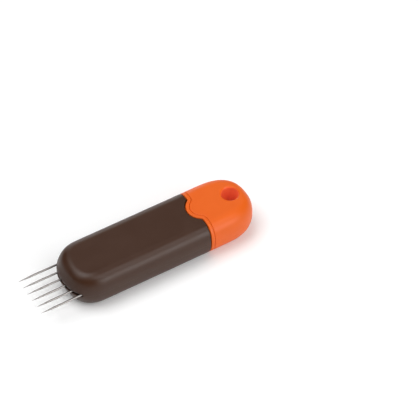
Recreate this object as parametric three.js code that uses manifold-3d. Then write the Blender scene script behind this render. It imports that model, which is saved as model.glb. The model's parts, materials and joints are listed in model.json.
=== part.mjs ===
// A pocket clay scoring tool: six steel needles on a slider that runs in a flat hand sleeve.
// Pulling the head draws the needles back into the sleeve through the slot in its tip.
//
// Millimetres, +Z up. The tool lies on its flat underside at z = 0 with its length along X:
// the needles point along -X and the head with its eye is at +X.
// While the pieces are made, x = 0 is the seam between the sleeve and the head.
// The finished group is then moved along X so that the whole tool is centred on the origin.

import * as THREE from 'three';
import { mergeVertices, toCreasedNormals } from 'three/addons/utils/BufferGeometryUtils.js';
import Module from 'manifold-3d';

const wasm = await Module();
wasm.setup();

// Outer form of the closed body
const bodyWidth = 25;
const bodyHeight = 15.5;
const edgeRound = 4.65;
const edgeLand = 0.5;
const sleeveLength = 57.25;
const headLength = 23.55;
const tipRound = 11.8;
const headRound = 15.4;
const endFullness = 2.37;

// Seam: a round tongue of the head sits in a notch of the sleeve, above and below
const tongueDepth = 3.25;
const tongueRadius = 6.45;
const shoulderRadius = 0.9;
const seamGap = 0.3;
const rimLength = 1.5;

// Walls and clearances
const sleeveWall = 1.9;
const capWall = 1.9;
const coreWall = 1.8;
const ribThickness = 1.6;
const slideGap = 0.3;
const joinGap = 0.3;

// Eye for a key ring, through the head
const eyeRadius = 3.35;
const eyeFromEnd = 7.7;
const eyeRoll = 0.55;
const eyeWall = 1.6;

// Slider: springy arms with catches in the sleeve's grooves, and a fork with snaps in the head cap
const retractDepth = 4;
const forkPastEye = 1;
const armLand = 5.7;
const armHeight = 5;
const armSlit = 0.8;
const stopLand = 3;
const catchLength = 2.6;
const catchHeight = 3;
const catchReach = 0.7;
const snapFromRim = 2.6;
const snapLength = 2;
const snapHeight = 3.2;
const snapReach = 0.6;
const rampSlope = 1.2;

// Needles and the two-part clamp that holds them
const needleCount = 6;
const needleRadius = 0.4;
const needlePoint = 0.04;
const needleTaper = 10;
const needleExposed = 14.5;
const needleFromClampSide = 1.4;
const needleHeadRadius = 0.8;
const needleHeadLength = 0.8;
const needleFit = 0.25;
const clampSetback = 8.75;
const clampLength = 7.5;
const clampSplit = 0.2;
const tailFromClampBack = 1.8;
const tenonLength = 5.2;
const postRadius = 1.1;
const postCover = 1.3;

// Slot in the sleeve's tip
const slotHeight = 1.5;
const slotMargin = 0.3;

// How finely the curves are drawn, and how far a cutter runs past what it cuts
const endSteps = 28;
const edgeSteps = 8;
const innerEdgeSteps = 5;
const arcSteps = 14;
const slotEndSteps = 6;
const eyeSteps = 36;
const rollSteps = 4;
const postSides = 20;
const needleSides = 12;
const taperSteps = 4;
const crease = Math.PI / 6;
const past = 2;

// Places that follow from the sizes
const midHeight = bodyHeight / 2;
const travel = needleExposed + retractDepth;
const neckInset = sleeveWall + slideGap;
const spigotInset = capWall + joinGap;
const neckHalfWidth = bodyWidth / 2 - neckInset;
const neckHalfHeight = midHeight - neckInset;
const spigotHalfWidth = bodyWidth / 2 - spigotInset;
const clampFront = clampSetback - sleeveLength;
const clampBack = clampFront + clampLength;
const neckFront = clampBack + joinGap;
const eyeX = headLength - eyeFromEnd;
const spigotEnd = eyeX + forkPastEye;
const channelEnd = -tongueDepth - coreWall;
const channelHalfHeight = neckHalfHeight - coreWall;
const channelInner = ribThickness / 2;
const channelOuter = neckHalfWidth - coreWall;
const catchBack = -travel - slideGap - stopLand;
const catchFront = catchBack - catchLength;
const catchTop = neckHalfWidth + catchReach;
const armFree = catchBack + armSlit;
const armRoot = neckFront + armLand;
const snapFront = seamGap + rimLength + snapFromRim;
const snapBack = snapFront + snapLength;
const snapTop = spigotHalfWidth + snapReach;
const outerNeedle = neckHalfWidth - needleFromClampSide;
const needlePitch = 2 * outerNeedle / (needleCount - 1);
const needleTip = -sleeveLength - needleExposed;
const needleTail = clampBack - tailFromClampBack;
const slotHalfWidth = outerNeedle + needleRadius + slotMargin;

const brown = new THREE.MeshStandardMaterial({ color: 0x48342b, roughness: 0.5, metalness: 0 });
const orange = new THREE.MeshStandardMaterial({ color: 0xf06e2d, roughness: 0.42, metalness: 0 });
const grey = new THREE.MeshStandardMaterial({ color: 0x5b5c5e, roughness: 0.55, metalness: 0 });
const steel = new THREE.MeshStandardMaterial({ color: 0xb9babc, roughness: 0.25, metalness: 1 });

// A closed geometry as a solid that can be joined and cut
function solid(geometry) {
  const bare = geometry.clone();
  for (const name of Object.keys(bare.attributes)) {
    if (name !== 'position') bare.deleteAttribute(name);
  }
  const merged = mergeVertices(bare, 1e-4);
  return new wasm.Manifold(new wasm.Mesh({
    numProp: 3,
    vertProperties: Float32Array.from(merged.attributes.position.array),
    triVerts: Uint32Array.from(merged.index.array),
  }));
}

// A solid as a named mesh, smooth over its rounds and crisp at its edges
function piece(name, body, material) {
  const cut = body.getMesh();
  const geometry = new THREE.BufferGeometry();
  geometry.setAttribute('position', new THREE.BufferAttribute(cut.vertProperties, 3));
  geometry.setIndex(new THREE.BufferAttribute(cut.triVerts, 1));
  const mesh = new THREE.Mesh(toCreasedNormals(geometry, crease), material);
  mesh.name = name;
  return mesh;
}

// A box from its lowest corner to its highest
function block(low, high) {
  const size = high.map((value, i) => value - low[i]);
  const box = new THREE.BoxGeometry(...size);
  box.translate(...low.map((value, i) => value + size[i] / 2));
  return solid(box);
}

// A box on one side of the middle plane: near and far are its distances from that plane
function sideBlock(side, from, to, near, far, low, high) {
  const y = [side * near, side * far].sort((a, b) => a - b);
  return block([from, y[0], low], [to, y[1], high]);
}

// A slice of the whole body between two places along its length
function lengthSlice(from, to) {
  return block([from, -bodyWidth, -past], [to, bodyWidth, bodyHeight + past]);
}

function uprightCylinder(radius, x, y, low, high, sides) {
  const rod = new THREE.CylinderGeometry(radius, radius, high - low, sides);
  rod.rotateX(Math.PI / 2);
  rod.translate(x, y, (low + high) / 2);
  return solid(rod);
}

// A plan outline extruded straight up
function upright(shape, low, high) {
  const prism = new THREE.ExtrudeGeometry(shape, {
    depth: high - low,
    bevelEnabled: false,
    curveSegments: arcSteps,
  });
  prism.translate(0, 0, low);
  return solid(prism);
}

// An outline in Y and Z extruded along the length of the tool
function lengthwise(shape, from, to) {
  const prism = new THREE.ExtrudeGeometry(shape, {
    depth: to - from,
    bevelEnabled: false,
    curveSegments: slotEndSteps,
  });
  const yAxis = new THREE.Vector3(0, 1, 0);
  const zAxis = new THREE.Vector3(0, 0, 1);
  const xAxis = new THREE.Vector3(1, 0, 0);
  prism.applyMatrix4(new THREE.Matrix4().makeBasis(yAxis, zAxis, xAxis));
  prism.translate(from, 0, 0);
  return solid(prism);
}

// Half of a superellipse, from one side of the body round the end to the other side.
// A negative reach gives the end that points along -X.
function endCurve(centre, reach, halfWidth) {
  const points = [];
  for (let i = 0; i <= endSteps; i++) {
    const angle = Math.PI * (i / endSteps - 0.5);
    const along = Math.abs(Math.cos(angle)) ** (2 / endFullness);
    const across = Math.sign(angle) * Math.abs(Math.sin(angle)) ** (2 / endFullness);
    points.push(new THREE.Vector2(centre + reach * along, Math.sign(reach) * halfWidth * across));
  }
  return points;
}

// The closed body seen from above, drawn smaller all round by an inset
function planOutline(inset) {
  const halfWidth = bodyWidth / 2 - inset;
  const head = endCurve(headLength - headRound, headRound - inset, halfWidth);
  const tip = endCurve(tipRound - sleeveLength, inset - tipRound, halfWidth);
  return new THREE.Shape([...head, ...tip]);
}

// The body as a flat slab: level above and below, with a quarter of an ellipse down to each side
function slab(inset, steps) {
  const round = edgeRound - inset;
  const form = new THREE.ExtrudeGeometry(planOutline(inset), {
    depth: edgeLand,
    bevelThickness: midHeight - inset - edgeLand / 2,
    bevelSize: round,
    bevelOffset: -round,
    bevelSegments: steps,
  });
  form.translate(0, 0, midHeight - edgeLand / 2);
  return solid(form);
}

// Everything on the head's side of the seam, moved towards the head by an offset.
// The tongue and the two shoulders beside it keep their centres, so the offset is even.
function headSide(offset) {
  const tongueX = tongueRadius - tongueDepth;
  const shoulderX = -shoulderRadius;
  const between = tongueRadius + shoulderRadius;
  const shoulderY = Math.sqrt(between ** 2 - (tongueX - shoulderX) ** 2);
  const turn = Math.atan2(shoulderY, tongueX - shoulderX);
  const far = headLength + past;
  const wide = bodyWidth / 2 + past;
  const shape = new THREE.Shape();
  shape.moveTo(far, -wide);
  shape.lineTo(far, wide);
  shape.lineTo(offset, wide);
  shape.absarc(shoulderX, shoulderY, shoulderRadius + offset, 0, -turn, true);
  shape.absarc(tongueX, 0, tongueRadius - offset, Math.PI - turn, Math.PI + turn, false);
  shape.absarc(shoulderX, -shoulderY, shoulderRadius + offset, turn, 0, true);
  shape.lineTo(offset, -wide);
  return upright(shape, -past, bodyHeight + past);
}

// A catch on the side of the slider: a ramp on the end that goes in first, square on the other.
// Give grow to get the pocket that clears it.
function sideCatch(side, from, to, root, top, height, rampFirst, grow = 0) {
  const low = from - grow;
  const high = to + grow;
  const ramp = rampSlope * (top - root) / 2;
  const shape = new THREE.Shape();
  shape.moveTo(low, side * root);
  shape.lineTo(rampFirst ? low + ramp : low, side * (top + grow));
  shape.lineTo(rampFirst ? high : high - ramp, side * (top + grow));
  shape.lineTo(high, side * root);
  const half = height / 2 + grow;
  return upright(shape, midHeight - half, midHeight + half);
}

// The catch on an arm, and the snap on a prong of the fork
function armCatch(side) {
  const root = neckHalfWidth - catchReach;
  return sideCatch(side, catchFront, catchBack, root, catchTop, catchHeight, true);
}

function forkSnap(side, grow = 0) {
  const root = spigotHalfWidth - snapReach;
  return sideCatch(side, snapFront, snapBack, root, snapTop, snapHeight, false, grow);
}

// One needle about its own axis, point first, with a small head that stops it pulling out.
// Give grow to get the seat that clears it.
function needleForm(grow = 0) {
  const headFront = needleTail - needleHeadLength - grow;
  const profile = [new THREE.Vector2(0, needleTip - grow)];
  for (let i = 0; i <= taperSteps; i++) {
    const share = i / taperSteps;
    const swell = Math.sin(share * Math.PI / 2);
    const radius = needlePoint + (needleRadius - needlePoint) * swell + grow;
    profile.push(new THREE.Vector2(radius, needleTip + needleTaper * share));
  }
  profile.push(new THREE.Vector2(needleRadius + grow, headFront));
  profile.push(new THREE.Vector2(needleHeadRadius + grow, headFront));
  profile.push(new THREE.Vector2(needleHeadRadius + grow, needleTail + grow));
  profile.push(new THREE.Vector2(0, needleTail + grow));
  const form = new THREE.LatheGeometry(profile, needleSides);
  form.rotateZ(-Math.PI / 2);
  return form;
}

function needlePlace(index) {
  return -outerNeedle + index * needlePitch;
}

// The sleeve: one moulding, open at the seam, with the needle slot in its tip
// and a blind groove inside each side wall for the slider's catches
function gripSleeve() {
  let body = slab(0, edgeSteps).subtract(headSide(0));
  body = body.subtract(slab(sleeveWall, innerEdgeSteps));

  const corner = slotHeight / 2;
  const slot = new THREE.Shape();
  slot.absarc(slotHalfWidth - corner, midHeight, corner, -Math.PI / 2, Math.PI / 2, false);
  slot.absarc(corner - slotHalfWidth, midHeight, corner, Math.PI / 2, Math.PI * 1.5, false);
  body = body.subtract(lengthwise(slot, -sleeveLength - past, tipRound - sleeveLength));

  const grooveFront = catchFront - slideGap;
  const grooveBack = catchBack + travel + slideGap;
  const grooveHalf = catchHeight / 2 + slideGap;
  const floor = midHeight - grooveHalf;
  const roof = midHeight + grooveHalf;
  for (const side of [-1, 1]) {
    const inner = neckHalfWidth - catchReach;
    body = body.subtract(sideBlock(side, grooveFront, grooveBack, inner, catchTop + slideGap, floor, roof));
  }
  return piece('grip_sleeve', body, brown);
}

// A springy arm is left in a side wall of the neck by slits above, below and behind it
function armSlits(side) {
  const inside = channelOuter - coreWall / 2;
  const low = midHeight - armHeight / 2;
  const high = midHeight + armHeight / 2;
  const opening = sideBlock(side, armRoot, armFree, inside, bodyWidth, low - armSlit, high + armSlit);
  const arm = sideBlock(side, armRoot - past, catchBack, inside - past, bodyWidth + past, low, high);
  return opening.subtract(arm);
}

// The slider: a neck cored from the front in two channels, the rim that meets the sleeve,
// and a fork behind it that carries the head cap
function sliderCore() {
  const rimMiddle = seamGap + rimLength / 2;
  const overlap = rimLength / 4;
  const neck = slab(neckInset, edgeSteps)
    .intersect(lengthSlice(neckFront, headLength))
    .subtract(headSide(rimMiddle + overlap));

  const throat = eyeRadius + eyeWall + joinGap;
  const fork = slab(spigotInset, edgeSteps)
    .intersect(lengthSlice(-sleeveLength, spigotEnd))
    .intersect(headSide(rimMiddle - overlap))
    .subtract(uprightCylinder(throat, eyeX, 0, -past, bodyHeight + past, eyeSteps))
    .subtract(block([eyeX, -throat, -past], [headLength, throat, bodyHeight + past]));

  const rim = slab(0, edgeSteps)
    .intersect(headSide(seamGap))
    .subtract(headSide(seamGap + rimLength));

  const floor = midHeight - channelHalfHeight;
  const roof = midHeight + channelHalfHeight;
  let body = neck.add(fork).add(rim);
  for (const side of [-1, 1]) {
    body = body
      .subtract(sideBlock(side, neckFront - past, channelEnd, channelInner, channelOuter, floor, roof))
      .subtract(armSlits(side))
      .add(armCatch(side))
      .add(forkSnap(side));
  }
  return piece('slider_core', body, orange);
}

// The curve that rolls the eye's bore out into a face, from the face to the bore
function rollOut(face, inwards) {
  const points = [];
  for (let i = 0; i <= rollSteps; i++) {
    const angle = i / rollSteps * Math.PI / 2;
    const radius = eyeRadius + eyeRoll * (1 - Math.sin(angle));
    points.push(new THREE.Vector2(radius, face + inwards * eyeRoll * (1 - Math.cos(angle))));
  }
  return points;
}

function eyeBore() {
  const mouth = eyeRadius + eyeRoll;
  const profile = [
    new THREE.Vector2(0, -past),
    new THREE.Vector2(mouth, -past),
    ...rollOut(0, 1),
    ...rollOut(bodyHeight, -1).reverse(),
    new THREE.Vector2(mouth, bodyHeight + past),
    new THREE.Vector2(0, bodyHeight + past),
  ];
  const bore = new THREE.LatheGeometry(profile, eyeSteps);
  bore.rotateX(Math.PI / 2);
  bore.translate(eyeX, 0, 0);
  return solid(bore);
}

// The head cap: a shell pushed over the fork up to the rim, with the eye's tube moulded across it
function headCap() {
  const tube = uprightCylinder(eyeRadius + eyeWall, eyeX, 0, -past, bodyHeight + past, eyeSteps);
  const pocket = slab(capWall, innerEdgeSteps)
    .intersect(lengthSlice(-sleeveLength, spigotEnd + joinGap))
    .subtract(tube);
  const body = slab(0, edgeSteps)
    .intersect(headSide(seamGap + rimLength + joinGap))
    .subtract(pocket)
    .subtract(forkSnap(-1, joinGap))
    .subtract(forkSnap(1, joinGap))
    .subtract(eyeBore());
  return piece('head_cap', body, orange);
}

// Half of the needle clamp, below or above the needles.
// Two tenons behind it plug into the neck's channels, which hold the halves together.
function clampHalf(name, upper) {
  const split = midHeight + (upper ? clampSplit / 2 : -clampSplit / 2);
  const low = upper ? split : -past;
  const high = upper ? bodyHeight + past : split;
  let body = slab(neckInset, edgeSteps)
    .intersect(block([clampFront, -bodyWidth, low], [clampBack, bodyWidth, high]));

  const tenonReach = channelHalfHeight - joinGap;
  const tenonLow = upper ? split : midHeight - tenonReach;
  const tenonHigh = upper ? midHeight + tenonReach : split;
  const tenonNear = channelInner + joinGap;
  const tenonFar = channelOuter - joinGap;
  const tenonStart = clampBack - clampLength / 2;
  const tenonEnd = clampBack + tenonLength;
  const postX = clampBack + tenonLength / 2;
  const postTop = midHeight + tenonReach - postCover;
  for (const side of [-1, 1]) {
    const postY = side * (tenonNear + tenonFar) / 2;
    const post = uprightCylinder(postRadius, postX, postY, tenonLow, postTop, postSides);
    const socket = uprightCylinder(postRadius + joinGap, postX, postY, -past, postTop + joinGap, postSides);
    body = body.add(sideBlock(side, tenonStart, tenonEnd, tenonNear, tenonFar, tenonLow, tenonHigh));
    body = upper ? body.subtract(socket) : body.add(post);
  }

  for (let i = 0; i < needleCount; i++) {
    const seat = needleForm(needleFit);
    seat.translate(0, needlePlace(i), midHeight);
    body = body.subtract(solid(seat));
  }
  return piece(name, body, grey);
}

function needle(index) {
  const mesh = new THREE.Mesh(needleForm(), steel);
  mesh.name = `needle_${index + 1}`;
  mesh.position.set(0, needlePlace(index), midHeight);
  return mesh;
}

const slider = new THREE.Group();
slider.add(sliderCore());
slider.add(headCap());
slider.add(clampHalf('needle_clamp_lower', false));
slider.add(clampHalf('needle_clamp_upper', true));
for (let i = 0; i < needleCount; i++) {
  slider.add(needle(i));
}

const tool = new THREE.Group();
tool.add(gripSleeve());
tool.add(slider);
tool.position.x = -(needleTip + headLength) / 2;

export default tool;
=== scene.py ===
# %% [markdown]
# # A pocket scoring tool for clay
# A potter scratches two clay faces before joining them, so that the slip can grip.
# This small tool does it with six needles in a row. The needles sit on an orange slider that runs
# in a brown hand sleeve: pulling the head draws them back through a slot in the sleeve's tip.
# The construction model gives every piece its size, place and motion. This lesson gives each piece
# the surface that the eye sees: fine rounded forms, soft lips along the seams, and real finishes.

# %% Load the frame
import json
import math

import bpy
from mathutils import Matrix, Vector


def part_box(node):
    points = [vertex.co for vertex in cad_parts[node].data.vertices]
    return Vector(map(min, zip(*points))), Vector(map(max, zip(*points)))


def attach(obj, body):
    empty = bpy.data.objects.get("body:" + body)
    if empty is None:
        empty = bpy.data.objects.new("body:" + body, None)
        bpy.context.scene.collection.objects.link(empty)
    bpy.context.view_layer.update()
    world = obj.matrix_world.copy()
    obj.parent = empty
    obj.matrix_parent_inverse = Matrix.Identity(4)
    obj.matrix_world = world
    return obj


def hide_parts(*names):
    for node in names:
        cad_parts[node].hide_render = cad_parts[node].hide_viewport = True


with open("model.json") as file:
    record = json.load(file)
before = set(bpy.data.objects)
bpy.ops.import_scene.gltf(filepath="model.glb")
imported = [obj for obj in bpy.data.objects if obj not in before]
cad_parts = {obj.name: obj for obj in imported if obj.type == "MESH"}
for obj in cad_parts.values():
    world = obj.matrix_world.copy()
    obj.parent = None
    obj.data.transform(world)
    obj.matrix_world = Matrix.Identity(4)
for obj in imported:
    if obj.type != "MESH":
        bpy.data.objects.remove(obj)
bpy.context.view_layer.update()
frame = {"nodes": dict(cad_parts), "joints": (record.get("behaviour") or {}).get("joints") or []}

print("pieces in the frame:", ", ".join(sorted(frame["nodes"])))

# %% [markdown]
# ## Sizes
# The main places are read from the frame, so the looks follow it if it changes. The rest are the
# maker's own sizes, written once here in metres. MM turns a size in millimetres into metres.
# `past` is how far a cutting tool reaches beyond what it cuts. `hair` is how near two places must
# be to count as one.

# %% Places read from the frame
MM = 0.001
sleeve_low, sleeve_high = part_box("grip_sleeve")
tip_x = sleeve_low.x
seam_x = sleeve_high.x
head_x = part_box("head_cap")[1].x
clamp_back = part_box("needle_clamp_lower")[1].x
body_width = sleeve_high.y - sleeve_low.y
body_height = sleeve_high.z - sleeve_low.z
mid_z = (sleeve_low.z + sleeve_high.z) / 2
print(f"sleeve {1000 * (seam_x - tip_x):.2f} mm, head {1000 * (head_x - seam_x):.2f} mm long")

# %% Sizes of the forms
edge_round = 5.4 * MM
edge_fullness = 2.3
edge_land = 0.5 * MM
tip_round = 11.8 * MM
head_round = 15.4 * MM
end_fullness = 2.37

tongue_depth = 3.25 * MM
tongue_radius = 6.45 * MM
shoulder_radius = 0.9 * MM
seam_gap = 0.3 * MM
rim_length = 1.5 * MM

wall = 1.9 * MM
core_wall = 1.8 * MM
rib_thickness = 1.6 * MM
running_gap = 0.3 * MM
core_inset = wall + running_gap

past = 2 * MM
hair = 0.01 * MM
print("the slider's core lies", round(core_inset / MM, 2), "mm inside the outer form")

# %% [markdown]
# ## Camera
# The view is that of a product photograph: a long lens, 48 degrees down, with the tool turned
# across the frame. The lens stands a metre away, eleven times the tool's length, so the tool's
# sides stay nearly parallel. The frame is square, and the tool's place in it comes from the point
# on the table that the lens looks at.

# %% Place the camera
view_azimuth = math.radians(-31.3)
view_elevation = math.radians(48.3)
view_distance = 1.0326
view_target = Vector((0.03617, 0.00836, 0.0))
image_pixels = 420
focal_pixels = 2662

away = Vector((
    math.sin(view_azimuth) * math.cos(view_elevation),
    -math.cos(view_azimuth) * math.cos(view_elevation),
    math.sin(view_elevation),
))
camera_data = bpy.data.cameras.new("product_camera")
camera_data.sensor_width = 36.0
camera_data.lens = camera_data.sensor_width * focal_pixels / image_pixels
camera_data.clip_end = 50.0
camera = bpy.data.objects.new("product_camera", camera_data)
camera.location = view_target + away * view_distance
camera.rotation_mode = "QUATERNION"
camera.rotation_quaternion = (-away).to_track_quat("-Z", "Y")
bpy.context.scene.collection.objects.link(camera)
bpy.context.scene.camera = camera
print(f"lens {camera_data.lens:.0f} mm at {view_distance:.2f} m")

# %% [markdown]
# ## Working by hand, in code
# Blender's operators act on what is selected, so each step starts by making one object the only
# one selected, and then picks vertices or edges by their place. These small helpers do that, and
# leave the object in edit mode, ready for the next operator.

# %% Select one object, or some of its parts
def only(piece):
    if bpy.context.mode != "OBJECT":
        bpy.ops.object.mode_set(mode="OBJECT")
    bpy.ops.object.select_all(action="DESELECT")
    piece.select_set(True)
    bpy.context.view_layer.objects.active = piece


def edit(piece, kind="VERT"):
    only(piece)
    bpy.ops.object.mode_set(mode="EDIT")
    bpy.ops.mesh.select_mode(type=kind)
    bpy.ops.mesh.select_all(action="SELECT")


def pick(piece, kind, test):
    """Select each vertex, or each edge by both of its ends, that passes a test of its place."""
    edit(piece, kind)
    bpy.ops.mesh.select_all(action="DESELECT")
    bpy.ops.object.mode_set(mode="OBJECT")
    corners = piece.data.vertices
    for part in corners if kind == "VERT" else piece.data.edges:
        ends = [part.co] if kind == "VERT" else [corners[i].co for i in part.vertices]
        part.select = all(test(place) for place in ends)
    bpy.ops.object.mode_set(mode="EDIT")


def pick_sharp(piece, test, angle=40):
    """Select each edge that is sharper than an angle and whose two ends pass a test."""
    edit(piece, "EDGE")
    bpy.ops.mesh.select_all(action="DESELECT")
    bpy.ops.mesh.edges_select_sharp(sharpness=math.radians(angle))
    bpy.ops.object.mode_set(mode="OBJECT")
    corners = piece.data.vertices
    sharp = {edge.index for edge in piece.data.edges if edge.select}
    kept = [i for i in sharp if all(test(corners[k].co) for k in piece.data.edges[i].vertices)]
    edit(piece, "EDGE")
    bpy.ops.mesh.select_all(action="DESELECT")
    bpy.ops.object.mode_set(mode="OBJECT")
    for i in kept:
        piece.data.edges[i].select = True
    bpy.ops.object.mode_set(mode="EDIT")
    return len(kept)


def done():
    bpy.ops.object.mode_set(mode="OBJECT")
    return bpy.context.object


only(camera)
print("ready to model")

# %% [markdown]
# ## Joining and cutting
# Moulded parts are thought of as solids: a form, less its hollow, less its slots. A Boolean
# modifier does the same with meshes, and is applied at once, so that the next step has real
# edges to work on. The tool is removed afterwards.

# %% Cut, keep and join
def combine(piece, tool, operation):
    only(piece)
    modifier = piece.modifiers.new(operation.lower(), "BOOLEAN")
    modifier.solver = "EXACT"
    modifier.operation = operation
    modifier.object = tool
    bpy.ops.object.modifier_apply(modifier=modifier.name)
    bpy.data.meshes.remove(tool.data)
    return piece


def cut(piece, tool):
    return combine(piece, tool, "DIFFERENCE")


def keep(piece, tool):
    return combine(piece, tool, "INTERSECT")


def join(piece, tool):
    return combine(piece, tool, "UNION")


def block(low, high):
    """A plain box between two corners, used only as a cutting tool or a start."""
    bpy.ops.object.select_all(action="DESELECT")
    bpy.ops.mesh.primitive_cube_add(size=1)
    box = bpy.context.object
    edit(box)
    size = [b - a for a, b in zip(low, high)]
    bpy.ops.transform.resize(value=size)
    bpy.ops.transform.translate(value=[(a + b) / 2 for a, b in zip(low, high)])
    return done()


def rod(radius, centre, low, high, sides):
    """An upright round bar, used only as a cutting tool or a start."""
    bpy.ops.object.select_all(action="DESELECT")
    bpy.ops.mesh.primitive_cylinder_add(vertices=sides, radius=radius, depth=high - low)
    bar = bpy.context.object
    edit(bar)
    bpy.ops.transform.translate(value=(centre[0], centre[1], (low + high) / 2))
    return done()


print("cut, keep, join, block and rod are ready")

# %% [markdown]
# ## The outer form
# Seen from above the closed tool is a long oval with full, slightly square ends. Its long edges
# fall from the flat top to the widest line and on to the flat underside. They leave the flat so
# gently that a highlight on them has no hard border. Both are curves of one family, a little
# fuller than an ellipse, and a bevel's profile value sets how full: 0.5 is round and 1 is a
# square corner. A plane with bevelled corners gives the oval, and each end is then squeezed to
# its length. Extruding, bevelling both rims and stretching the height gives the soft edge. A
# narrow upright band, the edge's land, is left at the widest line.
#
# The same steps with an inset give the hollow of the sleeve and the core of the slider, so walls
# and running gaps are even all round.

# %% Make a solid of the whole closed body, smaller all round by an inset
corner_steps = 26
edge_steps = 14


def body_form(name, inset=0.0):
    half = body_width / 2 - inset
    tip_centre = tip_x + tip_round
    head_centre = head_x - head_round
    radius = edge_round - inset
    rise = mid_z - inset - edge_land / 2
    squeeze = radius / rise
    half_height = radius + edge_land / 2 * squeeze

    bpy.ops.object.select_all(action="DESELECT")
    bpy.ops.mesh.primitive_plane_add(size=1)
    form = bpy.context.object
    form.name = name
    edit(form)
    bpy.ops.transform.resize(value=(head_centre - tip_centre + 2 * half, 2 * half, 1))
    middle = ((tip_centre + head_centre) / 2, 0, mid_z - half_height)
    bpy.ops.transform.translate(value=middle)

    plan_profile = 2 ** (-2 / end_fullness)
    bpy.ops.mesh.bevel(offset=half, segments=corner_steps, profile=plan_profile,
                       affect="VERTICES", clamp_overlap=False)
    bpy.ops.mesh.select_all(action="SELECT")
    bpy.ops.mesh.remove_doubles(threshold=hair)
    for centre, reach, side in ((tip_centre, tip_round, -1), (head_centre, head_round, 1)):
        pick(form, "VERT", lambda place: side * (place.x - centre) > hair)
        bpy.ops.transform.resize(value=((reach - inset) / half, 1, 1),
                                 center_override=(centre, 0, 0))

    edit(form, "FACE")
    rise_move = {"value": (0, 0, 2 * half_height)}
    bpy.ops.mesh.extrude_region_move(TRANSFORM_OT_translate=rise_move)
    edge_profile = 2 ** (-2 / edge_fullness)
    for level in (-half_height, half_height):
        pick(form, "EDGE", lambda place: abs(place.z - mid_z - level) < hair)
        bpy.ops.mesh.bevel(offset=radius, segments=edge_steps, profile=edge_profile,
                           clamp_overlap=False)
    edit(form)
    bpy.ops.transform.resize(value=(1, 1, 1 / squeeze), center_override=(0, 0, mid_z))
    bpy.ops.mesh.normals_make_consistent(inside=False)
    return done()


print("an outer form is made by name and inset")

# %% [markdown]
# The needle end is drawn forward a little at mid height, like the lips of a mouth, so that the
# upper lip hides the slot from above. Proportional editing does this as fingers would do it in
# clay: the picked vertices move the full way, and their neighbours follow less and less.

# %% Draw the tip's lips forward
lip_reach = 0.6 * MM
lip_spread = 4.5 * MM
lip_zone = 3.0 * MM


def draw_lips(form):
    pick(form, "VERT", lambda place: place.x < tip_x + lip_zone
         and abs(place.z - mid_z) < edge_land)
    bpy.ops.transform.translate(value=(-lip_reach, 0, 0), use_proportional_edit=True,
                                proportional_edit_falloff="SMOOTH",
                                proportional_size=lip_spread)
    return done()


outer_form = draw_lips(body_form("outer_form"))
print("outer form:", len(outer_form.data.polygons), "faces")

# %% [markdown]
# ## The seam
# Sleeve and head meet on a straight line with a round tongue in its middle. One outline makes
# every cut along it: the sleeve's mouth, both sides of the rim, and the cap. Its arcs keep their
# centres while their radii grow or shrink by the offset, so the lines run parallel. The outline
# is drawn as by hand: a vertex is extruded along the straight parts and spun round the arcs.

# %% Draw a wire through straight moves and arcs
def first_point(name, place):
    bpy.ops.object.select_all(action="DESELECT")
    bpy.ops.mesh.primitive_plane_add(size=MM)
    wire = bpy.context.object
    wire.name = name
    edit(wire)
    bpy.ops.mesh.merge(type="CENTER")
    bpy.ops.mesh.select_all(action="SELECT")
    bpy.ops.transform.translate(value=place)
    return wire


def line_to(here, there):
    step = {"value": Vector(there) - Vector(here)}
    bpy.ops.mesh.extrude_vertices_move(TRANSFORM_OT_translate=step)
    return Vector(there)


def arc_round(here, centre, angle, steps, axis=(0, 0, 1)):
    """Turn about a centre. The spin operator counts clockwise, so the angle is turned over."""
    bpy.ops.mesh.spin(steps=steps, angle=-angle, center=centre, axis=axis)
    turn = Matrix.Rotation(angle, 3, Vector(axis))
    return Vector(centre) + turn @ (Vector(here) - Vector(centre))


tongue_steps = 30
shoulder_steps = 8


def head_side(offset):
    """Everything on the head's side of the seam, moved towards the head by an offset."""
    tongue = Vector((seam_x + tongue_radius - tongue_depth, 0, -past))
    shoulder_x = seam_x - shoulder_radius
    between = tongue_radius + shoulder_radius
    shoulder_y = math.sqrt(between ** 2 - (tongue.x - shoulder_x) ** 2)
    turn = math.atan2(shoulder_y, tongue.x - shoulder_x)
    far, wide, start = head_x + past, body_width / 2 + past, seam_x + offset

    here = Vector((far, wide, -past))
    tool = first_point("head_side", here)
    here = line_to(here, (start, wide, -past))
    here = line_to(here, (start, shoulder_y, -past))
    here = arc_round(here, (shoulder_x, shoulder_y, -past), -turn, shoulder_steps)
    here = arc_round(here, tongue, 2 * turn, tongue_steps)
    here = arc_round(here, (shoulder_x, -shoulder_y, -past), -turn, shoulder_steps)
    here = line_to(here, (start, -wide, -past))
    here = line_to(here, (far, -wide, -past))
    bpy.ops.mesh.select_all(action="SELECT")
    bpy.ops.mesh.remove_doubles(threshold=hair)
    bpy.ops.mesh.edge_face_add()
    rise = {"value": (0, 0, body_height + 2 * past)}
    bpy.ops.mesh.extrude_region_move(TRANSFORM_OT_translate=rise)
    bpy.ops.mesh.select_all(action="SELECT")
    bpy.ops.mesh.normals_make_consistent(inside=False)
    return done()


def on(form, place):
    """Whether a point lies on a form's surface."""
    nearest = form.closest_point_on_mesh(place)[1]
    return (nearest - place).length < 2 * hair


def smooth(piece, angle=38):
    """Shade smooth over the rounds, crisp at corners, with the flat faces kept flat."""
    only(piece)
    bpy.ops.object.shade_smooth_by_angle(angle=math.radians(angle))
    modifier = piece.modifiers.new("flat_faces_lead", "WEIGHTED_NORMAL")
    modifier.keep_sharp = True
    bpy.ops.object.modifier_apply(modifier=modifier.name)
    return piece


def open_edges(piece):
    """How many edges don't join exactly two faces: none on a closed piece."""
    used = {}
    for face in piece.data.polygons:
        for key in face.edge_keys:
            used[key] = used.get(key, 0) + 1
    return sum(count != 2 for count in used.values())


print("seam outline ready")

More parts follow.
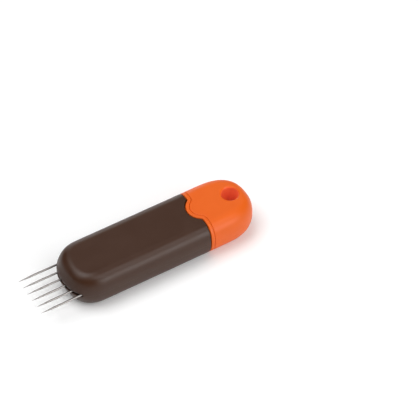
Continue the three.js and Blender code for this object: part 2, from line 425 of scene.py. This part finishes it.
# %% [markdown]
# ## The hand sleeve
# One moulding with an even wall, open at the seam. Its mouth has a small soft lip, because a
# crisp edge there would scratch the hand. The lip is a bevel on the edges that the seam cut left
# on the outer form. The tip has a slot for the needles, a rounded bar in section. It is a little
# less high than in the frame, so that only a thin dark line shows between the lips. Last, a
# blind groove is cut in each side wall, where a catch on the slider will run and stop.

# %% Model the sleeve
lip_round = 0.26 * MM
lip_steps = 4
slot_height = 1.2 * MM
slot_half_width = 9.6 * MM
slot_steps = 7
slot_lip = 0.2 * MM
slot_lip_steps = 3


def slot_bar():
    """A flat bar along the tool, rounded on the four edges that run its way."""
    bar = block((tip_x - past, -slot_half_width, mid_z - slot_height / 2),
                (tip_x + tip_round, slot_half_width, mid_z + slot_height / 2))
    edit(bar, "EDGE")
    bpy.ops.mesh.select_all(action="DESELECT")
    bpy.ops.object.mode_set(mode="OBJECT")
    corners = bar.data.vertices
    for edge in bar.data.edges:
        run = corners[edge.vertices[1]].co - corners[edge.vertices[0]].co
        edge.select = abs(run.x) > slot_height
    bpy.ops.object.mode_set(mode="EDIT")
    bpy.ops.mesh.bevel(offset=slot_height / 2 - hair, segments=slot_steps, profile=0.5)
    return done()


def make_sleeve():
    sleeve = draw_lips(body_form("sleeve_moulding"))
    hollow = body_form("hollow", wall)
    cut(sleeve, head_side(0))
    rim = pick_sharp(sleeve, lambda place: on(outer_form, place))
    bpy.ops.mesh.bevel(offset=lip_round, segments=lip_steps, profile=0.5, clamp_overlap=False)
    done()
    cut(sleeve, hollow)
    cut(sleeve, slot_bar())
    mouth = pick_sharp(sleeve, lambda place: place.x < tip_x + tip_round and on(outer_form, place))
    bpy.ops.mesh.bevel(offset=slot_lip, segments=slot_lip_steps, profile=0.5,
                       clamp_overlap=False)
    done()
    print("edges rounded at the seam:", rim, "and at the slot:", mouth)
    return smooth(sleeve)


sleeve = make_sleeve()
print("sleeve:", len(sleeve.data.polygons), "faces,", open_edges(sleeve), "open edges")

# %% Cut the grooves that the slider's catches run in
travel = frame["joints"][0]["range_m"][1]
catch_length = 2.6 * MM
catch_height = 3 * MM
catch_reach = 0.7 * MM
stop_land = 3 * MM
catch_back = seam_x - travel - running_gap - stop_land
catch_front = catch_back - catch_length
catch_root = body_width / 2 - core_inset
catch_top = catch_root + catch_reach


def side_block(side, start, end, near, far, half_height):
    low_y, high_y = sorted((side * near, side * far))
    return block((start, low_y, mid_z - half_height), (end, high_y, mid_z + half_height))


for side in (-1, 1):
    cut(sleeve, side_block(side, catch_front - running_gap, catch_back + travel + running_gap,
                           catch_root - catch_reach, catch_top + running_gap,
                           catch_height / 2 + running_gap))
smooth(sleeve)
print("sleeve:", len(sleeve.data.polygons), "faces,", open_edges(sleeve), "open edges")

# %% [markdown]
# ## The slider's rim
# The rim is a thin slice of the outer form between two seam cuts. On the real tool it is a soft
# bead: both of its outer edges are rounded, and light catches it as a bright line beside the dark
# gap. It is rounded by itself, while its edges are still simple loops.

# %% Model the rim
rim_lip = 0.36 * MM
bead_steps = 5


def make_rim():
    rim = body_form("rim")
    keep(rim, head_side(seam_gap))
    cut(rim, head_side(seam_gap + rim_length))
    edges = pick_sharp(rim, lambda place: on(outer_form, place))
    bpy.ops.mesh.bevel(offset=rim_lip, segments=bead_steps, profile=0.5, clamp_overlap=False)
    print("edges rounded on the rim:", edges)
    return done()


rim = make_rim()
print("rim:", len(rim.data.polygons), "faces,", open_edges(rim), "open edges")

# %% [markdown]
# ## The slider's core
# The neck slides in the sleeve and is seen when the needles are drawn in. Behind the rim the same
# form goes on as a fork that carries the cap. The neck is cored from the front in two channels,
# as a moulding is to keep its walls even. Slits free a springy arm on each side. Its catch runs
# in the sleeve's groove, and the groove's ends are the stops of the slide.

# %% Model the core and join the rim to it
clamp_tenon = 5.2 * MM
neck_front = clamp_back - clamp_tenon + running_gap
eye_radius = 3.35 * MM
eye_from_end = 7.7 * MM
eye_wall = 1.6 * MM
eye_x = head_x - eye_from_end
fork_past_eye = 1 * MM
fork_end = eye_x + fork_past_eye
arm_land = 5.7 * MM
arm_half_height = 2.5 * MM
arm_slit = 0.8 * MM
ramp_slope = 1.2
round_steps = 64


def wedge(side, start, end, root, top, height, ramp_at_start, grow=0.0):
    """A tooth on a side of the core, with a ramp at one end. Grow it to get its pocket."""
    tooth = side_block(side, start - grow, end + grow, root, top + grow, height / 2 + grow)
    corner = start - grow if ramp_at_start else end + grow
    pick(tooth, "VERT", lambda place: abs(place.x - corner) < hair
         and abs(abs(place.y) - top - grow) < hair)
    ramp = ramp_slope * (top - root) / 2 * (1 if ramp_at_start else -1)
    bpy.ops.transform.translate(value=(ramp, 0, 0))
    return done()


def make_core():
    core = body_form("slider_moulding", core_inset)
    span = block((neck_front, -body_width, -past), (fork_end, body_width, body_height + past))
    keep(core, span)
    throat = eye_radius + eye_wall + running_gap
    cut(core, rod(throat, (eye_x, 0), -past, body_height + past, round_steps))
    cut(core, block((eye_x, -throat, -past), (head_x, throat, body_height + past)))
    join(core, rim)

    channel_end = seam_x - tongue_depth - core_wall
    channel_half = mid_z - core_inset - core_wall
    channel_far = body_width / 2 - core_inset - core_wall
    arm_inside = channel_far - core_wall / 2
    arm_root = neck_front + arm_land
    for side in (-1, 1):
        cut(core, side_block(side, neck_front - past, channel_end, rib_thickness / 2,
                             channel_far, channel_half))
        slits = side_block(side, arm_root, catch_back + arm_slit, arm_inside, body_width,
                           arm_half_height + arm_slit)
        cut(slits, side_block(side, arm_root - past, catch_back, arm_inside - past,
                              body_width + past, arm_half_height))
        cut(core, slits)
        join(core, wedge(side, catch_front, catch_back, catch_root - catch_reach, catch_top,
                         catch_height, True))
    return core


slider = make_core()
print("slider:", len(slider.data.polygons), "faces,", open_edges(slider), "open edges")

# %% Add the snaps that hold the cap
snap_from_rim = 2.6 * MM
snap_length = 2 * MM
snap_height = 3.2 * MM
snap_reach = 0.6 * MM
snap_start = seam_x + seam_gap + rim_length + snap_from_rim


def cap_snap(side, grow=0.0):
    return wedge(side, snap_start, snap_start + snap_length, catch_root - snap_reach,
                 catch_root + snap_reach, snap_height, False, grow)


for side in (-1, 1):
    join(slider, cap_snap(side))
smooth(slider)
print("slider:", len(slider.data.polygons), "faces,", open_edges(slider), "open edges")

# %% [markdown]
# ## The eye
# A key ring or cord goes through the head, so the eye's mouths are rolled out: nothing sharp can
# cut the cord. The cutting tool is turned on a lathe: a profile with a quarter arc at each face
# is spun once round the bore's axis. The arc ends level with the face, so no edge shows there.

# %% Turn the eye's cutting tool
eye_roll = 0.85 * MM
roll_steps = 8


def close_lathe(centre, axis, steps):
    """Spin the wire being edited once round an axis, and close the ends of what it makes."""
    bpy.ops.mesh.select_all(action="SELECT")
    bpy.ops.mesh.spin(steps=steps, angle=2 * math.pi, center=centre, axis=axis)
    bpy.ops.mesh.select_all(action="SELECT")
    bpy.ops.mesh.remove_doubles(threshold=hair / 10)
    bpy.ops.mesh.fill_holes(sides=0)
    bpy.ops.mesh.select_all(action="SELECT")
    bpy.ops.mesh.normals_make_consistent(inside=False)
    return done()


def eye_tool():
    mouth = eye_x + eye_radius + eye_roll
    here = Vector((mouth, 0, -past))
    first_point("eye_tool", here)
    here = line_to(here, (mouth, 0, 0))
    here = arc_round(here, (mouth, 0, eye_roll), math.pi / 2, roll_steps, (0, 1, 0))
    top = (mouth, 0, body_height - eye_roll)
    here = line_to(here, (eye_x + eye_radius, 0, top[2]))
    here = arc_round(here, top, math.pi / 2, roll_steps, (0, 1, 0))
    line_to(here, (mouth, 0, body_height + past))
    return close_lathe((eye_x, 0, 0), (0, 0, 1), round_steps)


print("eye radius", eye_radius / MM, "mm, rolled out by", eye_roll / MM, "mm")

# %% [markdown]
# ## The cap
# The cap is a shell with the eye's tube across it, pushed over the fork up to the rim. Its front
# edge is rounded less than the rim's, and the two stand a hair apart, so a fine groove shows
# between them. The frame keeps a wider clearance there. It is narrowed here to the line that the
# eye sees on pressed parts.

# %% Model the cap
cap_gap = 0.03 * MM
cap_lip = 0.28 * MM


def make_cap():
    cap = body_form("cap_moulding")
    keep(cap, head_side(seam_gap + rim_length + cap_gap))
    edges = pick_sharp(cap, lambda place: on(outer_form, place))
    bpy.ops.mesh.bevel(offset=cap_lip, segments=lip_steps, profile=0.5, clamp_overlap=False)
    done()
    pocket = body_form("pocket", wall)
    reach = block((tip_x, -body_width, -past),
                  (fork_end + running_gap, body_width, body_height + past))
    keep(pocket, reach)
    tube = rod(eye_radius + eye_wall, (eye_x, 0), -past, body_height + past, round_steps)
    cut(pocket, tube)
    cut(cap, pocket)
    for side in (-1, 1):
        cut(cap, cap_snap(side, running_gap))
    cut(cap, eye_tool())
    print("edges rounded on the cap:", edges)
    return smooth(cap)


cap = make_cap()
print("cap:", len(cap.data.polygons), "faces,", open_edges(cap), "open edges")

# %% [markdown]
# ## The needles
# Six hardened steel needles with long, slightly swelling points. Each is turned like the eye's
# tool: half of its outline is drawn and spun round its axis. One is modelled, and the others are
# copies, each moved to its own seat in edit mode so that its place is in its mesh.

# %% Turn one needle and copy it
needle_radius = 0.4 * MM
needle_point = 0.04 * MM
needle_taper = 7 * MM
needle_head = 0.8 * MM
taper_steps = 10
needle_sides = 28


def make_needle(name, low, high):
    tip, tail, axis_y = low.x, high.x, (low.y + high.y) / 2
    here = Vector((tip, axis_y, mid_z + needle_point))
    first_point(name, here)
    for i in range(1, taper_steps + 1):
        share = i / taper_steps
        swell = math.sin(share * math.pi / 2)
        radius = needle_point + (needle_radius - needle_point) * swell
        here = line_to(here, (tip + needle_taper * share, axis_y, mid_z + radius))
    here = line_to(here, (tail - needle_head, axis_y, mid_z + needle_radius))
    here = line_to(here, (tail - needle_head, axis_y, mid_z + needle_head))
    line_to(here, (tail, axis_y, mid_z + needle_head))
    return smooth(close_lathe((tip, axis_y, mid_z), (1, 0, 0), needle_sides))


first_low, first_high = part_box("needle_1")
needles = [make_needle("needle_steel_1", first_low, first_high)]
for number in range(2, 7):
    only(needles[0])
    bpy.ops.object.duplicate()
    copy = bpy.context.object
    copy.name = f"needle_steel_{number}"
    edit(copy)
    bpy.ops.transform.translate(value=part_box(f"needle_{number}")[0] - first_low)
    needles.append(done())
print(len(needles), "needles of", len(needles[0].data.polygons), "faces,",
      open_edges(needles[0]), "open edges")

# %% Put the measuring form away
bpy.data.meshes.remove(outer_form.data)
print("pieces made:", ", ".join(piece.name for piece in (sleeve, slider, cap, *needles)))

# %% [markdown]
# ## Finishes
# Nothing on this tool is painted. Its colours are in the plastic, and its shine comes from the
# skin of the mould, or from the wheel that ground the steel. Each material is a graph of nodes
# that works out colour, roughness and height from the place on the piece, in metres. Grain then
# has the same size on every piece, and no picture is needed.
#
# Two helpers keep the graphs short. One makes a node and wires it in the same line. The other
# starts a node group: an effect that several materials use is built once and placed in each.

# %% Make nodes and groups
def add(tree, kind, settings, inputs):
    """Make a node. An input takes a plain value, or the output of another node."""
    made = tree.nodes.new(kind)
    for name, value in settings.items():
        setattr(made, name, value)
    for name, value in inputs.items():
        if isinstance(value, bpy.types.NodeSocket):
            tree.links.new(value, made.inputs[name])
        else:
            made.inputs[name].default_value = value
    return made


def calculate(tree, operation, *values):
    step = add(tree, "ShaderNodeMath", {"operation": operation}, dict(enumerate(values)))
    return step.outputs[0]


def remap(tree, value, low, high, new_low, new_high, curve="LINEAR"):
    inputs = {0: value, 1: low, 2: high, 3: new_low, 4: new_high}
    return add(tree, "ShaderNodeMapRange", {"interpolation_type": curve}, inputs).outputs[0]


def new_group(name, inputs, outputs):
    group = bpy.data.node_groups.new(name, "ShaderNodeTree")
    for label in inputs:
        kind = "NodeSocketVector" if label == "Vector" else "NodeSocketFloat"
        group.interface.new_socket(name=label, in_out="INPUT", socket_type=kind)
    for label in outputs:
        group.interface.new_socket(name=label, in_out="OUTPUT", socket_type="NodeSocketFloat")
    given = group.nodes.new("NodeGroupInput").outputs
    result = group.nodes.new("NodeGroupOutput").inputs
    return group, given, result


def place_group(tree, group, inputs):
    made = tree.nodes.new("ShaderNodeGroup")
    made.node_tree = group
    for name, value in inputs.items():
        if isinstance(value, bpy.types.NodeSocket):
            tree.links.new(value, made.inputs[name])
        else:
            made.inputs[name].default_value = value
    return made.outputs


def srgb(red, green, blue):
    """A colour as a picture program shows it, from 0 to 255, turned into light."""
    shares = [value / 255 for value in (red, green, blue)]
    return (*[((share + 0.055) / 1.055) ** 2.4 for share in shares], 1)


print("node helpers ready")

# %% [markdown]
# ### The skin of a moulding
# A satin moulding copies its steel mould, whose surface was eaten by sparks into shallow pits
# about a sixth of a millimetre wide. Cells from a Voronoi texture give the pits, and a finer
# noise breaks up their rims. A second, much larger noise stands for the soft clouds that the
# melt leaves as it flows and cools: they change the colour and the sheen by a few per cent.

# %% Build the mould skin
def make_mould_skin():
    group, given, result = new_group("mould_skin", ["Vector", "Pits per Metre",
                                                    "Clouds per Metre"], ["Height", "Cloud"])
    link = group.links.new
    place = given["Vector"]
    pits = add(group, "ShaderNodeTexVoronoi", {"feature": "SMOOTH_F1"},
               {"Vector": place, "Scale": given["Pits per Metre"], "Smoothness": 0.6})
    grit = add(group, "ShaderNodeTexNoise", {},
               {"Vector": place, "Scale": given["Pits per Metre"], "Detail": 4.0})
    bowl = calculate(group, "MULTIPLY", pits.outputs["Distance"], 0.7)
    link(calculate(group, "MULTIPLY_ADD", grit.outputs["Fac"], 0.3, bowl), result["Height"])
    clouds = add(group, "ShaderNodeTexNoise", {},
                 {"Vector": place, "Scale": given["Clouds per Metre"], "Detail": 3.0,
                  "Distortion": 0.6})
    link(remap(group, clouds.outputs["Fac"], 0.3, 0.7, 0.0, 1.0, "SMOOTHSTEP"), result["Cloud"])
    return group


mould_skin = make_mould_skin()
print("mould skin:", len(mould_skin.nodes), "nodes")

# %% [markdown]
# ### Where the mould halves met
# Both halves of the mould met at the widest line of the body, and the melt crept a few hundredths
# of a millimetre into the joint. That fine raised line runs round the sleeve, the rim and the
# cap at one height. The group turns the distance from that height into a soft ridge.

# %% Build the parting line
def make_parting_line():
    group, given, result = new_group("parting_line", ["Vector", "Level", "Half Width"], ["Ridge"])
    place = add(group, "ShaderNodeSeparateXYZ", {}, {0: given["Vector"]})
    offset = calculate(group, "SUBTRACT", place.outputs["Z"], given["Level"])
    distance = calculate(group, "ABSOLUTE", offset)
    share = calculate(group, "DIVIDE", distance, given["Half Width"])
    group.links.new(remap(group, share, 0.0, 1.0, 1.0, 0.0, "SMOOTHSTEP"), result["Ridge"])
    return group


parting_line = make_parting_line()
print("parting line:", len(parting_line.nodes), "nodes")

# %% [markdown]
# ### Rubbed by the bench
# A tool that lies flat on a gritty bench picks up fine scratches on its underside. Noise that is
# stretched a hundredfold along one direction makes lines, and two layers at different angles
# make a net of them. A mask keeps them to the lowest fraction of a millimetre.

# %% Build the bench rub
def make_bench_rub():
    group, given, result = new_group("bench_rub", ["Vector", "Lines per Metre", "Reach"],
                                     ["Scratch"])
    layers = []
    for angle, shift in ((0.4, 0.0), (-0.9, 0.3)):
        turned = add(group, "ShaderNodeMapping", {},
                     {"Vector": given["Vector"], "Location": (shift, 0, 0),
                      "Rotation": (0, 0, angle), "Scale": (0.01, 1, 1)})
        lines = add(group, "ShaderNodeTexNoise", {},
                    {"Vector": turned.outputs[0], "Scale": given["Lines per Metre"],
                     "Detail": 2.0})
        layers.append(remap(group, lines.outputs["Fac"], 0.62, 0.72, 0.0, 1.0))
    net = calculate(group, "MAXIMUM", *layers)
    place = add(group, "ShaderNodeSeparateXYZ", {}, {0: given["Vector"]})
    share = calculate(group, "DIVIDE", place.outputs["Z"], given["Reach"])
    low = remap(group, share, 0.3, 1.0, 1.0, 0.0, "SMOOTHSTEP")
    group.links.new(calculate(group, "MULTIPLY", net, low), result["Scratch"])
    return group


bench_rub = make_bench_rub()
print("bench rub:", len(bench_rub.nodes), "nodes")

# %% [markdown]
# ### The plastics
# Sleeve, slider and clamp are one kind of material with different dyes: a satin plastic. Its
# colour moves a little between two dyes with the clouds, and the scratches underneath are paler.
# Heights are written in metres, so that the Bump node's distance is simply one.
#
# The orange dye lets light through. Round the eye the plastic is lit from many sides, so the
# eye's wall glows a deep red, less and less with depth. Subsurface light doesn't give this, since
# it looks only a millimetre or two round each point. A painted glow stands in for it: a weak
# emission on the wall, which is no lamp. It is kept to the eye by two masks: the distance from
# the eye's axis, and the height.

# %% Paint a glow on the eye's wall
share_at_mid_height = 0.3


# Painted glow: an emission on the eye's wall that stands in for light let through the dye.
def painted_eye_glow(tree, place, glow):
    axis = add(tree, "ShaderNodeCombineXYZ", {}, {0: eye_x, 1: 0.0, 2: 0.0}).outputs[0]
    seen_from_above = add(tree, "ShaderNodeVectorMath", {"operation": "MULTIPLY"},
                          {0: place, 1: (1, 1, 0)}).outputs[0]
    distance = add(tree, "ShaderNodeVectorMath", {"operation": "DISTANCE"},
                   {0: seen_from_above, 1: axis}).outputs["Value"]
    wall_mask = remap(tree, distance, eye_radius, eye_radius + eye_roll / 2, 1.0, 0.0,
                      "SMOOTHSTEP")
    height = add(tree, "ShaderNodeSeparateXYZ", {}, {0: place}).outputs["Z"]
    depth_mask = remap(tree, height, mid_z, body_height, share_at_mid_height, 1.0)
    share = calculate(tree, "MULTIPLY", wall_mask, depth_mask)
    return add(tree, "ShaderNodeMix", {"data_type": "RGBA"},
               {0: share, 6: (0, 0, 0, 1), 7: srgb(*glow)}).outputs[2]


print("the eye lies", round((head_x - eye_x) / MM, 2), "mm from the head's end")

# %% Mix the plastics
pits_per_metre = 6000.0
pit_depth = 0.006 * MM
clouds_per_metre = 110.0
sheen_swing = 0.02
ridge_height = 0.02 * MM
ridge_half_width = 0.09 * MM
scratches_per_metre = 9000.0
scratch_depth = 0.004 * MM
scratch_reach = 0.5 * MM
scratch_paleness = 0.5
scratch_dulling = 0.2


def moulded_plastic(name, dye, second_dye, rubbed, roughness, gloss, glow=None):
    material = bpy.data.materials.new(name)
    material.use_nodes = True
    tree = material.node_tree
    place = add(tree, "ShaderNodeTexCoord", {}, {}).outputs["Object"]
    skin = place_group(tree, mould_skin, {"Vector": place, "Pits per Metre": pits_per_metre,
                                          "Clouds per Metre": clouds_per_metre})
    line = place_group(tree, parting_line, {"Vector": place, "Level": mid_z,
                                            "Half Width": ridge_half_width})
    rub = place_group(tree, bench_rub, {"Vector": place, "Reach": scratch_reach,
                                        "Lines per Metre": scratches_per_metre})

    cloudy = add(tree, "ShaderNodeMix", {"data_type": "RGBA"},
                 {0: skin["Cloud"], 6: srgb(*dye), 7: srgb(*second_dye)})
    scratched = calculate(tree, "MULTIPLY", rub["Scratch"], scratch_paleness)
    colour = add(tree, "ShaderNodeMix", {"data_type": "RGBA"},
                 {0: scratched, 6: cloudy.outputs[2], 7: srgb(*rubbed)})
    sheen = remap(tree, skin["Cloud"], 0.0, 1.0, roughness - sheen_swing,
                  roughness + sheen_swing)
    dulled = calculate(tree, "MULTIPLY_ADD", rub["Scratch"], scratch_dulling, sheen)

    pits = calculate(tree, "MULTIPLY", skin["Height"], pit_depth)
    ridge = calculate(tree, "MULTIPLY_ADD", line["Ridge"], ridge_height, pits)
    height = calculate(tree, "MULTIPLY_ADD", rub["Scratch"], -scratch_depth, ridge)
    bump = add(tree, "ShaderNodeBump", {}, {"Height": height, "Distance": 1.0})

    shader = tree.nodes["Principled BSDF"]
    tree.links.new(colour.outputs[2], shader.inputs["Base Color"])
    tree.links.new(dulled, shader.inputs["Roughness"])
    tree.links.new(bump.outputs["Normal"], shader.inputs["Normal"])
    shader.inputs["Specular IOR Level"].default_value = gloss
    # The glow colour is a painted glow on the eye's wall, given as emission.
    if glow:
        tree.links.new(painted_eye_glow(tree, place, glow), shader.inputs["Emission Color"])
        shader.inputs["Emission Strength"].default_value = 1.0
    return material


brown = moulded_plastic("satin_brown", (60, 33, 16), (62, 35, 18), (120, 96, 82), 0.40, 0.36)
orange = moulded_plastic("satin_orange", (229, 97, 18), (231, 99, 20), (250, 160, 100), 0.42, 0.31,
                         (130, 57, 46))
grey = moulded_plastic("satin_grey", (92, 92, 94), (98, 98, 100), (140, 140, 140), 0.5, 0.5)
print("plastics:", brown.name, orange.name, grey.name)

# %% [markdown]
# ### The needle steel
# Needles start as drawn wire, which keeps fine lines along its length, and their points are
# ground, which leaves finer rings round them. Noise stretched along the needle gives the lines,
# and noise squeezed along it gives the rings. One fades into the other where the taper ends.

# %% Polish the steel
wire_lines = (30, 9000, 9000)
ground_rings = (9000, 300, 300)
rings_end_x = first_low.x + needle_taper
rings_fade_x = first_low.x + 0.8 * needle_taper
line_depth = 0.003 * MM


def stretched_grain(tree, place, scale):
    stretched = add(tree, "ShaderNodeMapping", {}, {"Vector": place, "Scale": scale})
    grain = add(tree, "ShaderNodeTexNoise", {},
                {"Vector": stretched.outputs[0], "Scale": 1.0, "Detail": 2.0})
    return grain.outputs["Fac"]


def needle_finish():
    material = bpy.data.materials.new("ground_steel")
    material.use_nodes = True
    tree = material.node_tree
    place = add(tree, "ShaderNodeTexCoord", {}, {}).outputs["Object"]
    lines = stretched_grain(tree, place, wire_lines)
    rings = stretched_grain(tree, place, ground_rings)
    along = add(tree, "ShaderNodeSeparateXYZ", {}, {0: place}).outputs["X"]
    wire_share = remap(tree, along, rings_fade_x, rings_end_x, 0.0, 1.0, "SMOOTHSTEP")
    grain = add(tree, "ShaderNodeMix", {"data_type": "FLOAT"},
                {0: wire_share, 2: rings, 3: lines}).outputs[0]
    height = calculate(tree, "MULTIPLY", grain, line_depth)
    bump = add(tree, "ShaderNodeBump", {}, {"Height": height, "Distance": 1.0})
    colour = add(tree, "ShaderNodeMix", {"data_type": "RGBA"},
                 {0: grain, 6: srgb(126, 122, 119), 7: srgb(148, 144, 141)})

    shader = tree.nodes["Principled BSDF"]
    shader.inputs["Metallic"].default_value = 1.0
    tree.links.new(colour.outputs[2], shader.inputs["Base Color"])
    tree.links.new(remap(tree, grain, 0.0, 1.0, 0.26, 0.36), shader.inputs["Roughness"])
    tree.links.new(bump.outputs["Normal"], shader.inputs["Normal"])
    return material


steel = needle_finish()
print("steel:", len(steel.node_tree.nodes), "nodes")

# %% [markdown]
# ## Put the pieces in the frame
# Each new piece stands for its node, rides on that node's body, and gets its finish. The needle
# clamp's own two nodes have the right shape already and sit deep inside, so they only get their
# plastic.

# %% Dress each piece and give it its body
def dress(piece, material, body, slot, *nodes):
    piece.data.materials.clear()
    piece.data.materials.append(material)
    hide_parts(*nodes)
    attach(piece, body)


dress(sleeve, brown, "sleeve", "sleeve_brown", "grip_sleeve")
dress(slider, orange, "slider", "slider_orange", "slider_core")
dress(cap, orange, "slider", "slider_orange", "head_cap")
for number, needle in enumerate(needles, 1):
    dress(needle, steel, "slider", "needle_steel", f"needle_{number}")
for name in ("needle_clamp_lower", "needle_clamp_upper"):
    half = frame["nodes"][name]
    half.data.materials.clear()
    half.data.materials.append(grey)
print("pieces on the slider:", 2 + len(needles), "and the clamp's two halves")

# %% [markdown]
# ## Table and light
# The tool lies on a plain white table. To the camera, and in mirror reflections, the table has a
# little light of its own, so that it reads as pure white round the shadow. Far from the tool,
# where the lamps don't reach, that light rises to full white. None of it falls on the tool.

# %% Lay the table
table_size = 8.0
table_white = 0.92
table_glow = 0.11
table_near = 0.15
table_far = 0.8


def ray_kinds(tree):
    """Two masks: one for what the camera sees, and one for what a reflection sees."""
    ray = add(tree, "ShaderNodeLightPath", {}, {}).outputs
    mirrored = calculate(tree, "MAXIMUM", ray["Is Glossy Ray"], ray["Is Transmission Ray"])
    return ray["Is Camera Ray"], mirrored


def make_table():
    bpy.ops.object.select_all(action="DESELECT")
    bpy.ops.mesh.primitive_plane_add(size=table_size)
    table = bpy.context.object
    table.name = "floor"
    material = bpy.data.materials.new("floor_white")
    material.use_nodes = True
    tree = material.node_tree
    tree.nodes.clear()
    matt = add(tree, "ShaderNodeBsdfDiffuse", {}, {"Color": (*[table_white] * 3, 1)})
    seen = calculate(tree, "MAXIMUM", *ray_kinds(tree))
    place = add(tree, "ShaderNodeTexCoord", {}, {}).outputs["Object"]
    distance = add(tree, "ShaderNodeVectorMath", {"operation": "LENGTH"},
                   {0: place}).outputs["Value"]
    level = remap(tree, distance, table_near, table_far, table_glow, 1.0, "SMOOTHSTEP")
    strength = calculate(tree, "MULTIPLY", seen, level)
    glow = add(tree, "ShaderNodeEmission", {}, {"Strength": strength})
    both = add(tree, "ShaderNodeAddShader", {}, {0: matt.outputs[0], 1: glow.outputs[0]})
    add(tree, "ShaderNodeOutputMaterial", {}, {"Surface": both.outputs[0]})
    table.data.materials.append(material)
    return table


table = make_table()
print("table", table_size, "m wide")

# %% [markdown]
# Round softboxes do the lighting in a dim room. The strong one overhead gives the flat top its
# tone, the tip its soft highlight and the table its shadow. Two at the right, in front, lay the
# long highlight on the near edge: the upper one its crest, the low one the tone below it. One at
# the left models the tip, a faint one in front fills its shade, and weak ones behind brighten the
# far rim. A softbox's place is told as seen in the picture: degrees round from its right, and
# degrees up.
#
# The camera sees the room as white. Reflections see a little of that white, because satin brown
# in an all-white room would look chalky, and its flanks are dark on the real tool.

# %% Hang the softboxes
room_light = 0.01
room_mirrored = 0.06
lamp_distance = 1.2


def make_room():
    room = bpy.data.worlds.new("studio")
    room.use_nodes = True
    tree = room.node_tree
    camera_sees, mirrored = ray_kinds(tree)
    mirror_level = calculate(tree, "MULTIPLY", mirrored, room_mirrored)
    seen = calculate(tree, "MAXIMUM", camera_sees, mirror_level)
    backdrop = tree.nodes["Background"]
    backdrop.inputs["Color"].default_value = (1, 1, 1, 1)
    tree.links.new(calculate(tree, "MAXIMUM", seen, room_light), backdrop.inputs["Strength"])
    bpy.context.scene.world = room


make_room()

picture_right = Vector((math.cos(view_azimuth), math.sin(view_azimuth), 0))
picture_back = Vector((-math.sin(view_azimuth), math.cos(view_azimuth), 0))


def softbox(name, around, up, size, power):
    turn, rise = math.radians(around), math.radians(up)
    level = picture_right * math.cos(turn) + picture_back * math.sin(turn)
    direction = level * math.cos(rise) + Vector((0, 0, math.sin(rise)))
    data = bpy.data.lights.new(name, "AREA")
    data.shape = "DISK"
    data.size = size
    data.energy = power
    lamp = bpy.data.objects.new(name, data)
    lamp.location = Vector((0, 0, mid_z)) + direction * lamp_distance
    lamp.rotation_mode = "QUATERNION"
    lamp.rotation_quaternion = direction.to_track_quat("Z", "Y")
    bpy.context.scene.collection.objects.link(lamp)
    return lamp


softbox("overhead", 166, 72, 0.9, 8.4)
softbox("left", 200, 50, 0.8, 2.3)
softbox("front_upper", 262, 60, 0.9, 0.5)
softbox("near_upper", 324, 54, 0.8, 4.8)
softbox("near_edge", 323, 14, 0.6, 5.5)
softbox("behind_right", 60, 45, 0.8, 1.1)
softbox("behind", 105, 18, 0.6, 2.3)
bpy.context.scene.view_settings.view_transform = "Standard"
print("the studio is lit")
